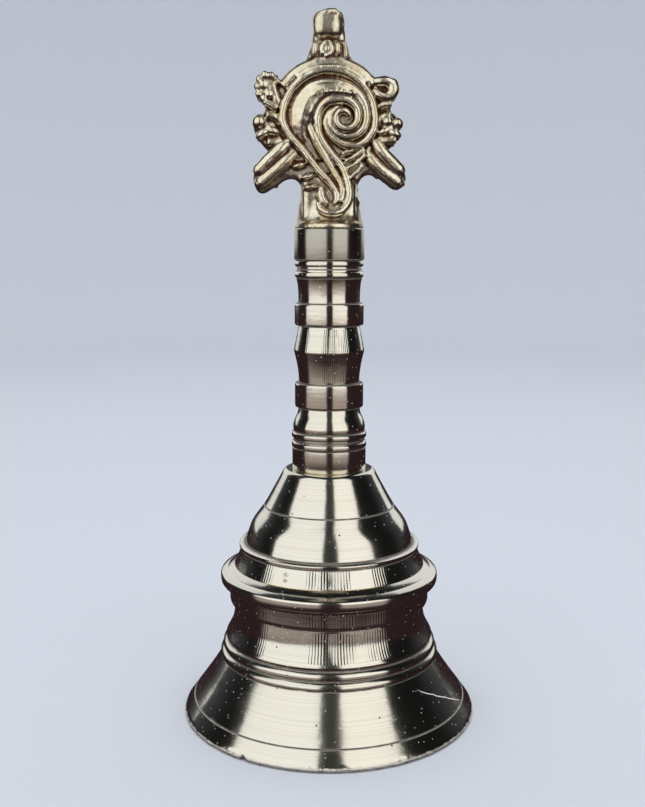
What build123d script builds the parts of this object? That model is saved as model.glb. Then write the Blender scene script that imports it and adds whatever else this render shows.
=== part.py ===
from build123d import *
import os
from math import sqrt

os.makedirs("parts", exist_ok=True)

# Hand bell of turned brass on a lathe-turned grip, with a cast crest on top and a clapper inside.
# Millimetres. The bell stands on its rim: z = 0 is the rim plane and +Z is the bell's axis.
# The flat of the crest lies in the XZ plane, and its front face looks along -Y.

# ---- cup: outside radii, from the rim up ----
mouth_radius = 40.0
rim_setback = 0.6            # how far the bottom land's outer corner lies inside the mouth radius
rim_edge_height = 0.9
skirt_low_radius = 37.0      # at the engraved line
skirt_low_height = 5.0
skirt_mid_radius = 32.9
skirt_mid_height = 10.7
reed_low_radius = 29.3       # foot of the two reeds at the top of the skirt
reed_high_radius = 27.9
reed_height = 4.7            # both reeds together
reed_swell = 0.45
lip_radius = 28.2
lip_height = 0.9
cove_radius = 26.3
waist_radius = 25.5
band_radius = 27.0
flange_radius = 29.3
dome_foot_radius = 25.7
shoulder_radius = 23.8
shoulder_bead = 0.5
dome_low_radius = 22.4
dome_bulge_radius = 20.7
dome_line_radius = 17.5
dome_top_radius = 14.5
crown_radius = 12.3
crown_round = 0.6

# ---- cup: heights of the stretches, from the rim up ----
skirt_height = 21.0
cove_height = 9.6
band_height = 4.8
band_round = 0.9
flange_chamfer_height = 1.5
flange_edge_height = 2.5
flange_slope_height = 1.95
shoulder_height = 4.55
bead_height = 1.6
dome_height = 19.9
dome_bulge_drop = 14.4       # below the crown
dome_line_drop = 10.0        # below the crown
dome_top_drop = 4.7          # below the crown

# ---- cup: hollow ----
wall = 2.8                   # measured level
rim_land = 2.6
crown_wall = 3.0

# ---- grip: radii and the heights of its turned stretches, from the crown up ----
foot_radius = 9.85
foot_height = 5.9
foot_bead_radius = 10.05
foot_groove_radius = 9.5
foot_bead_height = 1.7
foot_gap_height = 0.9
lower_belly_radius = 9.6
lower_belly_height = 6.6
lower_neck_radius = 8.1
collar_radius = 9.1
lower_collar_height = 6.5
upper_belly_foot_radius = 8.0
upper_belly_radius = 9.35
upper_belly_rise = 8.5
upper_belly_height = 15.1
upper_neck_radius = 8.05
upper_collar_height = 5.8
throat_radius = 8.1
throat_height = 6.6
throat_top_radius = 8.65
top_bead_radius = 8.95
top_groove_radius = 8.5
top_bead_height = 1.7
top_gap_height = 1.3
sleeve_radius = 9.25
sleeve_height = 8.1
sleeve_chamfer = 0.3
spigot_length = 2.4
spigot_wall = 1.7
spigot_play = 0.05           # radial, spigot in the crown's hole

# ---- crest casting ----
crest_foot_radius = 9.0
crest_plate = 7.0            # thickness of the flat ornament
crest_neck_width = 14.6
crest_neck_depth = 9.4
crest_neck_round = 3.0
crest_neck_height = 9.0
crest_neck_top = 5.0         # how far the neck block runs on above that, inside the ornament
roundel_radius = 12.5
roundel_height = 27.4        # roundel centre above the crest's seat
roundel_edge = 4.3           # half thickness at the roundel's edge
roundel_crown = 6.2          # half thickness at the roundel's centre
stem_radius = 5.0
stem_low = 40.5              # above the seat
stem_high = 46.0
knob_radius = 4.55
knob_top = 54.3
thread_depth = 11.0

# ---- hanger: tie rod with its eye, washer and nut ----
tie_rod_radius = 3.0
thread_play = 0.05           # radial, tie rod in its tapped holes
bore_play = 0.3              # radial, tie rod in plain holes
rod_chamfer = 0.4
rod_end_gap = 0.5            # tie rod's end short of the bottom of its blind hole
washer_radius = 8.5
washer_thickness = 1.2
nut_across_flats = 10.0
nut_thickness = 3.2
nut_chamfer = 0.6
eye_radius = 4.1             # to the middle of the eye's wire
eye_wire = 1.5               # wire radius
eye_drop = 0.4               # top of the eye below the nut

# ---- link and clapper ----
chain_play = 0.05            # between wires that hang on each other
link_radius = 4.2
link_wire = 1.2
clapper_eye_radius = 3.2
clapper_eye_wire = 1.2
clapper_rod_radius = 1.6
ball_radius = 6.5
ball_height = 12.5           # ball centre above the rim plane
ball_flat = 0.5              # depth cut off the ball's top and bottom
ball_play = 0.05             # radial, rod in the ball
rod_collar_radius = 2.5
rod_collar_height = 1.2
burr_radius = 2.9
burr_thickness = 0.8
rivet_radius = 2.3
rivet_height = 1.0

# ---- heights that follow ----
waist_z = skirt_height + cove_height
band_top_z = waist_z + band_height
flange_low_z = band_top_z + flange_chamfer_height
flange_high_z = flange_low_z + flange_edge_height
dome_foot_z = flange_high_z + flange_slope_height
bead_low_z = dome_foot_z + shoulder_height
dome_low_z = bead_low_z + bead_height
crown_z = dome_low_z + dome_height
ceiling_z = crown_z - crown_wall
reed_low_z = skirt_height - reed_height
washer_z = ceiling_z - washer_thickness
nut_z = washer_z - nut_thickness
eye_z = nut_z - eye_drop - eye_wire - eye_radius
link_top_z = eye_z - eye_radius + eye_wire + chain_play + link_wire
link_z = link_top_z - link_radius
clapper_eye_top_z = link_z - link_radius + link_wire + chain_play + clapper_eye_wire
clapper_eye_z = clapper_eye_top_z - clapper_eye_radius
ball_low_z = ball_height - ball_radius + ball_flat
ball_high_z = ball_height + ball_radius - ball_flat
burr_z = ball_low_z - burr_thickness

foot_bead_z = crown_z + foot_height
foot_bead_top_z = foot_bead_z + 2 * foot_bead_height + foot_gap_height
lower_collar_z = foot_bead_top_z + lower_belly_height
upper_belly_z = lower_collar_z + lower_collar_height
upper_collar_z = upper_belly_z + upper_belly_height
throat_z = upper_collar_z + upper_collar_height
top_bead_z = throat_z + throat_height
sleeve_z = top_bead_z + 2 * top_bead_height + top_gap_height
seat_z = sleeve_z + sleeve_height
roundel_z = seat_z + roundel_height
roundel_rise = roundel_crown - roundel_edge
roundel_curve = (roundel_radius**2 + roundel_rise**2) / (2 * roundel_rise)
roundel_swell = roundel_crown - roundel_curve + sqrt(roundel_curve**2 - roundel_radius**2 / 4)
rod_top_z = seat_z + thread_depth - rod_end_gap


# ---- cup ----
with BuildPart() as bell_cup:
    with BuildSketch(Plane.XZ):
        with BuildLine():
            rim = Polyline(
                (0, 0),
                (mouth_radius - rim_setback, 0),
                (mouth_radius, rim_edge_height),
            )
            skirt = Spline(
                rim @ 1,
                (skirt_low_radius, skirt_low_height),
                (skirt_mid_radius, skirt_mid_height),
                (reed_low_radius, reed_low_z),
            )
            reed_middle = (
                (reed_low_radius + reed_high_radius) / 2,
                reed_low_z + (skirt_height - reed_low_z) / 2,
            )
            low_reed = ThreePointArc(
                skirt @ 1,
                ((reed_low_radius + reed_middle[0]) / 2 + reed_swell, (reed_low_z + reed_middle[1]) / 2),
                reed_middle,
            )
            high_reed = ThreePointArc(
                low_reed @ 1,
                ((reed_high_radius + reed_middle[0]) / 2 + reed_swell, (skirt_height + reed_middle[1]) / 2),
                (reed_high_radius, skirt_height),
            )
            lip = Line(high_reed @ 1, (lip_radius, skirt_height + lip_height))
            cove = Spline(
                lip @ 1,
                (cove_radius, skirt_height + cove_height / 2),
                (waist_radius, waist_z),
            )
            band = Polyline(
                cove @ 1,
                (band_radius, waist_z + band_round),
                (band_radius, band_top_z),
                (flange_radius, flange_low_z),
                (flange_radius, flange_high_z),
                (dome_foot_radius, dome_foot_z),
                (shoulder_radius, bead_low_z),
            )
            bead = ThreePointArc(
                band @ 1,
                (shoulder_radius + shoulder_bead, bead_low_z + bead_height / 2),
                (shoulder_radius, dome_low_z),
            )
            ledge = Line(bead @ 1, (dome_low_radius, dome_low_z))
            dome = Spline(
                ledge @ 1,
                (dome_bulge_radius, crown_z - dome_bulge_drop),
                (dome_line_radius, crown_z - dome_line_drop),
                (dome_top_radius, crown_z - dome_top_drop),
                (crown_radius, crown_z - crown_round),
            )
            crown = Polyline(
                dome @ 1,
                (crown_radius - crown_round, crown_z),
                (0, crown_z),
                (0, 0),
            )
        make_face()
    revolve(axis=Axis.Z)
    with BuildSketch(Plane.XZ):
        with BuildLine():
            mouth = Line((0, 0), (mouth_radius - rim_setback - rim_land, 0))
            hollow = Spline(
                mouth @ 1,
                (skirt_mid_radius - wall, skirt_mid_height),
                (lip_radius - wall, skirt_height),
                (waist_radius - wall, waist_z),
                (waist_radius - wall, band_top_z),
                (shoulder_radius - wall, bead_low_z),
                (dome_bulge_radius - wall, crown_z - dome_bulge_drop),
                (dome_line_radius - wall, crown_z - dome_line_drop),
                (dome_top_radius - wall, crown_z - dome_top_drop),
            )
            ceiling = Polyline(
                hollow @ 1,
                (crown_radius - wall, ceiling_z),
                (0, ceiling_z),
                (0, 0),
            )
        make_face()
    revolve(axis=Axis.Z, mode=Mode.SUBTRACT)
    with Locations((0, 0, crown_z)):
        Hole(tie_rod_radius + bore_play + spigot_wall + spigot_play, depth=2 * crown_wall)
bell_cup.part.label = "bell_cup"
export_step(bell_cup.part, "parts/bell_cup.step")


# ---- grip ----
def reed(start, groove_radius, swell_radius, height):
    """A half-round raised ring on the grip, from the point where the last stretch ended."""
    return ThreePointArc(
        start,
        (swell_radius, start.Y + height / 2),
        (groove_radius, start.Y + height),
    )


with BuildPart() as handle_grip:
    with BuildSketch(Plane.XZ):
        with BuildLine():
            foot = Polyline(
                (0, crown_z),
                (foot_radius, crown_z),
                (foot_radius, foot_bead_z),
                (foot_groove_radius, foot_bead_z),
            )
            foot_bead = reed(foot @ 1, foot_groove_radius, foot_bead_radius, foot_bead_height)
            foot_gap = Line(foot_bead @ 1, (foot_groove_radius, (foot_bead @ 1).Y + foot_gap_height))
            second_bead = reed(foot_gap @ 1, foot_groove_radius, foot_bead_radius, foot_bead_height)
            lower_belly = Spline(
                second_bead @ 1,
                (lower_belly_radius, foot_bead_top_z + lower_belly_height / 5),
                (lower_neck_radius, lower_collar_z),
                tangents=((1, 1), (0, 1)),
            )
            lower_collar = Polyline(
                lower_belly @ 1,
                (collar_radius, lower_collar_z),
                (collar_radius, upper_belly_z),
                (upper_belly_foot_radius, upper_belly_z),
            )
            upper_belly = Spline(
                lower_collar @ 1,
                (upper_belly_radius, upper_belly_z + upper_belly_rise),
                tangents=((0, 1), (1, 4)),
            )
            upper_collar = Polyline(
                upper_belly @ 1,
                (upper_neck_radius, upper_collar_z),
                (collar_radius, upper_collar_z),
                (collar_radius, throat_z),
                (throat_radius, throat_z),
            )
            throat = Spline(
                upper_collar @ 1,
                (throat_top_radius, top_bead_z),
                tangents=((0, 1), (1, 3)),
            )
            top_step = Line(throat @ 1, (top_groove_radius, top_bead_z))
            top_bead = reed(top_step @ 1, top_groove_radius, top_bead_radius, top_bead_height)
            top_gap = Line(top_bead @ 1, (top_groove_radius, (top_bead @ 1).Y + top_gap_height))
            last_bead = reed(top_gap @ 1, top_groove_radius, top_bead_radius, top_bead_height)
            sleeve = Polyline(
                last_bead @ 1,
                (sleeve_radius, sleeve_z),
                (sleeve_radius, seat_z - sleeve_chamfer),
                (sleeve_radius - sleeve_chamfer, seat_z),
                (0, seat_z),
                (0, crown_z),
            )
        make_face()
    revolve(axis=Axis.Z)
    with BuildSketch(Plane.XY.offset(crown_z)):
        Circle(tie_rod_radius + bore_play + spigot_wall)
    extrude(amount=-spigot_length)
    with Locations((0, 0, seat_z)):
        Hole(tie_rod_radius + bore_play, depth=seat_z - crown_z + 2 * spigot_length)
handle_grip.part.label = "handle_grip"
export_step(handle_grip.part, "parts/handle_grip.step")


# ---- crest casting: one flat ornament with a roundel, a stem and a knob, on a round foot ----
def above_seat(points):
    """Outline points given as (x, height above the crest's seat)."""
    return [(x, seat_z + height) for x, height in points]


with BuildPart() as finial:
    with BuildSketch(Plane.XZ):
        with BuildLine() as outline:
            base = Line((0, seat_z + crest_neck_height), (crest_neck_width / 2, seat_z + crest_neck_height))
            neck_side = Spline(base @ 1, *above_seat([(7.7, 11.3), (9.7, 13.4)]))
            low_arm = Spline(
                neck_side @ 1,
                *above_seat([(12.6, 11.9), (16.9, 9.2), (19.1, 10.4)]),
                *above_seat([(19.3, 14.6), (17.0, 17.2), (15.3, 19.4)]),
            )
            middle_flame = Spline(
                low_arm @ 1,
                *above_seat([(17.6, 21.3), (19.1, 24.6), (18.6, 27.7), (16.5, 28.8), (16.0, 30.6)]),
            )
            high_flame = Spline(
                middle_flame @ 1,
                *above_seat([(18.3, 33.0), (18.0, 37.0), (15.9, 38.7), (12.4, 37.4)]),
            )
            shoulder = Spline(
                high_flame @ 1,
                *above_seat([(8.6, 39.4), (5.6, 42.4), (stem_radius, stem_high)]),
            )
            top = Line(shoulder @ 1, (0, seat_z + stem_high))
            mirror(outline.line, about=Plane.YZ)
        make_face()
    extrude(amount=crest_plate / 2, both=True)
    with BuildSketch(Plane.XY.offset(roundel_z)):
        with BuildLine():
            lens = Line((0, -roundel_crown), (0, roundel_crown))
            front_swell = ThreePointArc(
                lens @ 1,
                (roundel_radius / 2, roundel_swell),
                (roundel_radius, roundel_edge),
            )
            roundel_side = Line(front_swell @ 1, (roundel_radius, -roundel_edge))
            ThreePointArc(
                roundel_side @ 1,
                (roundel_radius / 2, -roundel_swell),
                lens @ 0,
            )
        make_face()
    revolve(axis=Axis((0, 0, roundel_z), (0, 1, 0)))
    with BuildSketch(Plane.XZ):
        with BuildLine():
            stem = Polyline(
                (0, seat_z + stem_low),
                (stem_radius, seat_z + stem_low),
                (stem_radius, seat_z + stem_high),
                (knob_radius, seat_z + stem_high),
            )
            knob = Spline(
                stem @ 1,
                (0.8 * knob_radius, seat_z + (stem_high + 3 * knob_top) / 4),
                (0, seat_z + knob_top),
                tangents=((0, 1), (-1, 0)),
            )
            Line(knob @ 1, (0, seat_z + stem_low))
        make_face()
    revolve(axis=Axis.Z)
    with BuildSketch(Plane.XY.offset(seat_z)):
        Circle(crest_foot_radius)
    with BuildSketch(Plane.XY.offset(seat_z + crest_neck_height)):
        RectangleRounded(crest_neck_width, crest_neck_depth, crest_neck_round)
    loft()
    with BuildSketch(Plane.XY.offset(seat_z + crest_neck_height)):
        RectangleRounded(crest_neck_width, crest_neck_depth, crest_neck_round)
    extrude(amount=crest_neck_top)
    with BuildSketch(Plane.XY.offset(seat_z)):
        Circle(tie_rod_radius + thread_play)
    extrude(amount=thread_depth, mode=Mode.SUBTRACT)
finial.part.label = "finial"
export_step(finial.part, "parts/finial.step")


# ---- hanger: tie rod with a forged eye, and the washer and nut that clamp cup and grip ----
with BuildPart() as hanger_eye_bolt:
    with BuildSketch(Plane.XY.offset(eye_z + eye_radius)):
        Circle(tie_rod_radius)
    extrude(amount=rod_top_z - eye_z - eye_radius)
    chamfer(hanger_eye_bolt.edges().filter_by(GeomType.CIRCLE), length=rod_chamfer)
    with Locations((0, 0, eye_z)):
        Torus(eye_radius, eye_wire, rotation=(90, 0, 0))
hanger_eye_bolt.part.label = "hanger_eye_bolt"
export_step(hanger_eye_bolt.part, "parts/hanger_eye_bolt.step")

with BuildPart() as crown_washer:
    with BuildSketch(Plane.XY.offset(washer_z)):
        Circle(washer_radius)
        Circle(tie_rod_radius + bore_play, mode=Mode.SUBTRACT)
    extrude(amount=washer_thickness)
crown_washer.part.label = "crown_washer"
export_step(crown_washer.part, "parts/crown_washer.step")

with BuildPart() as crown_nut:
    with BuildSketch(Plane.XZ):
        with BuildLine():
            Polyline(
                (0, nut_z),
                (nut_across_flats / 2, nut_z),
                (nut_across_flats / sqrt(3), nut_z + nut_chamfer),
                (nut_across_flats / sqrt(3), washer_z),
                (0, washer_z),
                close=True,
            )
        make_face()
    revolve(axis=Axis.Z)
    with BuildSketch(Plane.XY.offset(nut_z)):
        RegularPolygon(nut_across_flats / 2, side_count=6, major_radius=False)
    extrude(amount=nut_thickness, mode=Mode.INTERSECT)
    with Locations((0, 0, washer_z)):
        Hole(tie_rod_radius + thread_play, depth=nut_thickness)
crown_nut.part.label = "crown_nut"
export_step(crown_nut.part, "parts/crown_nut.step")


# ---- link between the hanger's eye and the clapper's eye ----
with BuildPart() as hanger_link:
    with Locations((0, 0, link_z)):
        Torus(link_radius, link_wire, rotation=(0, 90, 0))
hanger_link.part.label = "hanger_link"
export_step(hanger_link.part, "parts/hanger_link.step")


# ---- clapper: rod with an eye and a collar, ball, and the burr under the riveted end ----
with BuildPart() as clapper_rod:
    with BuildSketch(Plane.XZ):
        with BuildLine():
            rod_axis = Line((0, clapper_eye_z - clapper_eye_radius), (0, burr_z - rivet_height))
            rivet = Spline(
                rod_axis @ 1,
                (rivet_radius, burr_z),
                tangents=((1, 0), (0, 1)),
            )
            Polyline(
                rivet @ 1,
                (clapper_rod_radius, burr_z),
                (clapper_rod_radius, ball_high_z),
                (rod_collar_radius, ball_high_z),
                (rod_collar_radius, ball_high_z + rod_collar_height),
                (clapper_rod_radius, ball_high_z + rod_collar_height),
                (clapper_rod_radius, clapper_eye_z - clapper_eye_radius),
                rod_axis @ 0,
            )
        make_face()
    revolve(axis=Axis.Z)
    with Locations((0, 0, clapper_eye_z)):
        Torus(clapper_eye_radius, clapper_eye_wire, rotation=(90, 0, 0))
clapper_rod.part.label = "clapper_rod"
export_step(clapper_rod.part, "parts/clapper_rod.step")

with BuildPart() as clapper_ball:
    with Locations((0, 0, ball_height)):
        Sphere(ball_radius)
    split(bisect_by=Plane.XY.offset(ball_high_z), keep=Keep.BOTTOM)
    split(bisect_by=Plane.XY.offset(ball_low_z), keep=Keep.TOP)
    with Locations((0, 0, ball_high_z)):
        Hole(clapper_rod_radius + ball_play, depth=ball_high_z - ball_low_z)
clapper_ball.part.label = "clapper_ball"
export_step(clapper_ball.part, "parts/clapper_ball.step")

with BuildPart() as clapper_burr:
    with BuildSketch(Plane.XY.offset(burr_z)):
        Circle(burr_radius)
        Circle(clapper_rod_radius + ball_play, mode=Mode.SUBTRACT)
    extrude(amount=burr_thickness)
clapper_burr.part.label = "clapper_burr"
export_step(clapper_burr.part, "parts/clapper_burr.step")
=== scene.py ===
# %% [markdown]
# # A brass hand bell
# The bell is a turned cup with a turned grip and a flat cast crest, and a clapper hangs inside it. The
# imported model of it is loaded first. It is the fixed frame: it gives every size, every place and everything
# that moves. The pieces made here either stand for one of its nodes or give a node a finish, and they never
# change a size. Lengths are in metres, and shapes are drawn in millimetres and multiplied by MM.

# %% The frame
import bpy
import random
from math import cos, degrees, hypot, pi, radians, sin, tan
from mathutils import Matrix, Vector


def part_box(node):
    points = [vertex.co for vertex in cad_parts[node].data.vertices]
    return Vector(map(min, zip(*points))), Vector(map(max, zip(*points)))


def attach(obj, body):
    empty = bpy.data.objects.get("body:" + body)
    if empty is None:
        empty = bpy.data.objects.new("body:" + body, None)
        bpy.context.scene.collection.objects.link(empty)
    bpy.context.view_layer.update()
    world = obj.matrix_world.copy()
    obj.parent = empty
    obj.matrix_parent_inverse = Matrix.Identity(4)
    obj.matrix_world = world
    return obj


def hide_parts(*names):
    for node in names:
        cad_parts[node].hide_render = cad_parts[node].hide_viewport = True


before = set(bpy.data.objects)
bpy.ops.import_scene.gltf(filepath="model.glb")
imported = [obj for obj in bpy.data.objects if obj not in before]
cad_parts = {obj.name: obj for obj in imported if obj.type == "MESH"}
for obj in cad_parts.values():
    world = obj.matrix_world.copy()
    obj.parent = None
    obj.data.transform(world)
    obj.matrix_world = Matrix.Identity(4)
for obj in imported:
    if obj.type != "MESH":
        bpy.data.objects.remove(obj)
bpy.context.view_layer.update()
MM = 0.001
MICRON = 0.000001

# %% [markdown]
# ## Camera
# The bell is looked at from a little above its crown, from close by, so the rim shows as an ellipse while
# the crest is seen almost straight on. A camera this close also makes the mouth look wider than it is.

# %% Camera
CAMERA_DISTANCE = 276.8 * MM
CAMERA_HEIGHT = 127.4 * MM
CAMERA_ASIDE = -1.75 * MM
CAMERA_PITCH = 8.75
CAMERA_LENS = 46.7

bpy.ops.object.camera_add(
    location=(CAMERA_ASIDE, -CAMERA_DISTANCE, CAMERA_HEIGHT),
    rotation=(radians(90 - CAMERA_PITCH), 0, 0),
)
camera = bpy.context.object
camera.name = "view_camera"
camera.data.lens = CAMERA_LENS
camera.data.sensor_width = 36
camera.data.clip_start = 0.01
bpy.context.scene.camera = camera

# %% [markdown]
# ## Shader arithmetic
# A finish is easier to read when its masks are written as sums and products. This class wraps a socket, and
# each operator used on it adds the Math node that does the sum.


# %% Shader arithmetic
class Wire:
    def __init__(self, finish, socket):
        self.finish = finish
        self.socket = socket

    def math(self, operation, *others, clamp=False):
        values = {i: other for i, other in enumerate((self,) + others)}
        return self.finish.node("ShaderNodeMath", {"operation": operation, "use_clamp": clamp}, values)

    def __add__(self, other):
        return self.math("ADD", other)

    __radd__ = __add__

    def __sub__(self, other):
        return self.math("SUBTRACT", other)

    def __rsub__(self, other):
        return self.finish.node("ShaderNodeMath", {"operation": "SUBTRACT"}, {0: other, 1: self})

    def __mul__(self, other):
        return self.math("MULTIPLY", other)

    __rmul__ = __mul__

    def __truediv__(self, other):
        return self.math("DIVIDE", other)

    def __pow__(self, other):
        return self.math("POWER", other)

    def __abs__(self):
        return self.math("ABSOLUTE")

    def limited(self):
        return self.math("ADD", 0.0, clamp=True)

    def rise(self, low, high):
        """0 below low, 1 above high, smooth between. High may be the lower one, which turns it round."""
        settings = {"interpolation_type": "SMOOTHSTEP"}
        if low < high:
            return self.finish.node("ShaderNodeMapRange", settings, {0: self, 1: low, 2: high})
        return 1 - self.finish.node("ShaderNodeMapRange", settings, {0: self, 1: high, 2: low})


class Nodes:
    """A node tree, with one method that adds any node, and short names for the ones used often."""

    def __init__(self, tree):
        self.tree = tree

    def node(self, kind, settings=None, inputs=None, out=0):
        made = self.tree.nodes.new(kind)
        for key, value in (settings or {}).items():
            setattr(made, key, value)
        for key, value in (inputs or {}).items():
            self.feed(made.inputs[key], value)
        return Wire(self, made.outputs[out])

    def feed(self, socket, value):
        if isinstance(value, Wire):
            self.tree.links.new(value.socket, socket)
        else:
            socket.default_value = value

    def place(self):
        return self.node("ShaderNodeTexCoord", out="Object")

    def axes(self, vector):
        parts = self.node("ShaderNodeSeparateXYZ", inputs={0: vector})
        node = parts.socket.node
        return [Wire(self, node.outputs[i]) for i in range(3)]

    def vector(self, x, y, z):
        return self.node("ShaderNodeCombineXYZ", inputs={0: x, 1: y, 2: z})

    def noise(self, vector, scale, detail=2.0, roughness=0.5):
        inputs = {"Vector": vector, "Scale": scale, "Detail": detail, "Roughness": roughness}
        return self.node("ShaderNodeTexNoise", inputs=inputs)

    def mix(self, factor, first, second):
        return self.node(
            "ShaderNodeMix", {"data_type": "RGBA"}, {0: factor, 6: first, 7: second}, out=2
        )

    def bump(self, relief):
        """A normal for a relief given in micrometres."""
        return self.node("ShaderNodeBump", inputs={"Height": relief, "Distance": MICRON, "Strength": 1.0})


class Finish(Nodes):
    """A material with one Principled shader. Constants are set on the shader's own sockets."""

    def __init__(self, name, **constants):
        self.material = bpy.data.materials.new(name)
        self.material.use_nodes = True
        super().__init__(self.material.node_tree)
        self.shader = self.tree.nodes["Principled BSDF"]
        self.set(**constants)

    def set(self, **sockets):
        for name, value in sockets.items():
            self.feed(self.shader.inputs[name.replace("_", " ")], value)


def rgb(red, green, blue):
    return (red, green, blue, 1.0)

# %% [markdown]
# ## Studio
# Polished brass shows what stands round it. Two tall soft lights, one on each side of the camera, give the
# two bright stripes down the bell, and the gap between them gives the dark stripe in the middle. Two dimmer
# ones behind light its edges and its back. The floor curves up into a pale wall all round, so every side of
# the bell is seen against the same plain ground. The metal doesn't mirror that wall: it sees a dim room, as
# if the bell stood on a dark cloth, and this keeps the dark bands that make brass look like metal.

# %% Lights


def soft_box(name, azimuth, spread, distance, low, high, brightness, colour):
    """An upright soft light that faces the bell, from low to high, which is spread degrees wide seen from
    the bell. Azimuth 0 is the camera's side, positive to its right."""
    width = 2 * distance * tan(radians(spread / 2))
    away = Vector((sin(radians(azimuth)), -cos(radians(azimuth)), 0))
    bpy.ops.object.light_add(type="AREA", location=away * distance + Vector((0, 0, (low + high) / 2)))
    light = bpy.context.object
    light.name = name
    light.rotation_euler = away.to_track_quat("Z", "Y").to_euler()
    light.data.shape = "RECTANGLE"
    light.data.size = width
    light.data.size_y = high - low
    light.data.energy = brightness * pi * width * (high - low)
    light.data.color = colour
    light.visible_camera = False
    print(name, round(width, 2), "by", round(high - low, 2), "m")
    return light


FRONT_LIGHT = {"distance": 0.75, "low": 0.02, "high": 1.6}
BACK_LIGHT = {"distance": 0.9, "low": 0.1, "high": 1.2, "brightness": 0.75, "colour": (0.97, 0.98, 1.0)}
soft_boxes = [
    soft_box("left_light", -45, 72, brightness=0.98, colour=(0.99, 1.0, 1.0), **FRONT_LIGHT),
    soft_box("right_light", 36.5, 49, brightness=1.02, colour=(1.0, 0.99, 0.97), **FRONT_LIGHT),
    soft_box("left_back_light", -148, 44, **BACK_LIGHT),
    soft_box("right_back_light", 150, 40, **BACK_LIGHT),
]

# a wide light overhead, which no reflection shows
OVERHEAD_HEIGHT = 1.5
OVERHEAD_WIDTH = 1.6
bpy.ops.object.light_add(type="AREA", location=(0, 0, OVERHEAD_HEIGHT))
floor_light = bpy.context.object
floor_light.name = "floor_light"
floor_light.data.size = OVERHEAD_WIDTH
floor_light.data.energy = 15
floor_light.visible_camera = False
floor_light.visible_glossy = False

# %% [markdown]
# ### Room
# The world's background depends on who looks at it. The camera and the paper see an even pale grey. The
# metal sees a dim room: dark walls, a dark ground with a trace of plum, and a faint glow on the ground
# under each front light. The plain numbers are directions, as parts of a unit vector.

# %% Room
PALE_GREY = rgb(0.62, 0.66, 0.72)
SIDE_WALL = rgb(0.008, 0.009, 0.009)
BACK_WALL = rgb(0.07, 0.075, 0.085)
FRONT_WALL = rgb(0.032, 0.034, 0.032)
DARK_GROUND = rgb(0.026, 0.014, 0.017)
LIT_GROUND = rgb(0.36, 0.30, 0.28)

world = bpy.data.worlds.new("studio")
bpy.context.scene.world = world
world.use_nodes = True
room = Nodes(world.node_tree)
across, along, up = room.axes(room.node("ShaderNodeTexCoord", out="Generated"))
facing = across.math("ARCTAN2", 0 - along) * degrees(1)
left_glow = facing.rise(-84, -78) * facing.rise(-6, -12)
right_glow = facing.rise(9, 15) * facing.rise(64, 58)
glow = (left_glow + right_glow) * up.rise(-0.55, -0.2) * up.rise(-0.05, -0.12)
below = up.rise(0.05, -0.05)
walls = room.mix(along.rise(0.1, 0.9), SIDE_WALL, BACK_WALL)
walls = room.mix(along.rise(-0.2, -0.8), walls, FRONT_WALL)
surround = room.mix(below, walls, DARK_GROUND)
surround = room.mix(glow, surround, LIT_GROUND)
ray = room.node("ShaderNodeLightPath").socket.node
seen = Wire(room, ray.outputs["Is Camera Ray"]) + Wire(room, ray.outputs["Is Diffuse Ray"])
backdrop = room.mix(seen.limited(), surround, PALE_GREY)
room.feed(world.node_tree.nodes["Background"].inputs["Color"], backdrop)

# %% [markdown]
# ### Floor
# The paper floor is a disc whose edge is extruded upwards and then rounded off, like a sheet of paper that
# curves up behind a small object on a photographer's table, but all the way round.

# %% Floor
FLOOR_RADIUS = 1.7
WALL_HEIGHT = 2.2
FLAT_RING = 0.9
CURVE_RADIUS = 0.75
NEAR = 0.01

bpy.ops.object.select_all(action="DESELECT")
bpy.ops.mesh.primitive_circle_add(
    vertices=96, radius=FLOOR_RADIUS, fill_type="NGON", location=(0, 0, 0)
)
floor = bpy.context.object
floor.name = "floor"
bpy.context.tool_settings.mesh_select_mode = (False, True, False)
bpy.ops.object.mode_set(mode="EDIT")
bpy.ops.mesh.select_all(action="SELECT")
bpy.ops.mesh.inset(thickness=FLAT_RING)
bpy.ops.mesh.select_all(action="DESELECT")
bpy.ops.object.mode_set(mode="OBJECT")
for edge in floor.data.edges:
    edge.select = all(floor.data.vertices[v].co.length > FLOOR_RADIUS - NEAR for v in edge.vertices)
bpy.ops.object.mode_set(mode="EDIT")
bpy.ops.mesh.extrude_region_move(TRANSFORM_OT_translate={"value": (0, 0, WALL_HEIGHT)})
bpy.ops.object.mode_set(mode="OBJECT")
for edge in floor.data.edges:
    ends = [floor.data.vertices[v].co for v in edge.vertices]
    edge.select = all(abs(end.z) < NEAR and end.length > FLOOR_RADIUS - NEAR for end in ends)
bpy.ops.object.mode_set(mode="EDIT")
bpy.ops.mesh.bevel(offset=CURVE_RADIUS, segments=16)
bpy.ops.object.mode_set(mode="OBJECT")
bpy.context.tool_settings.mesh_select_mode = (True, False, False)
bpy.ops.object.shade_smooth()
floor_finish = Finish("floor_paper", Roughness=0.85)
floor_finish.set(Base_Color=rgb(0.70, 0.72, 0.76))
floor.data.materials.append(floor_finish.material)
floor.visible_glossy = False

# the soft boxes light the bell only, so their edges draw no lines on the floor
floor_only = bpy.data.collections.new("floor_only")
floor_only.objects.link(floor)
floor_only.collection_objects[0].light_linking.link_state = "EXCLUDE"
for light in soft_boxes:
    light.light_linking.receiver_collection = floor_only

# the plain view keeps the metal's highlights as bright as they are
bpy.context.scene.view_settings.view_transform = "Standard"
bpy.context.scene.view_settings.look = "None"
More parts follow.
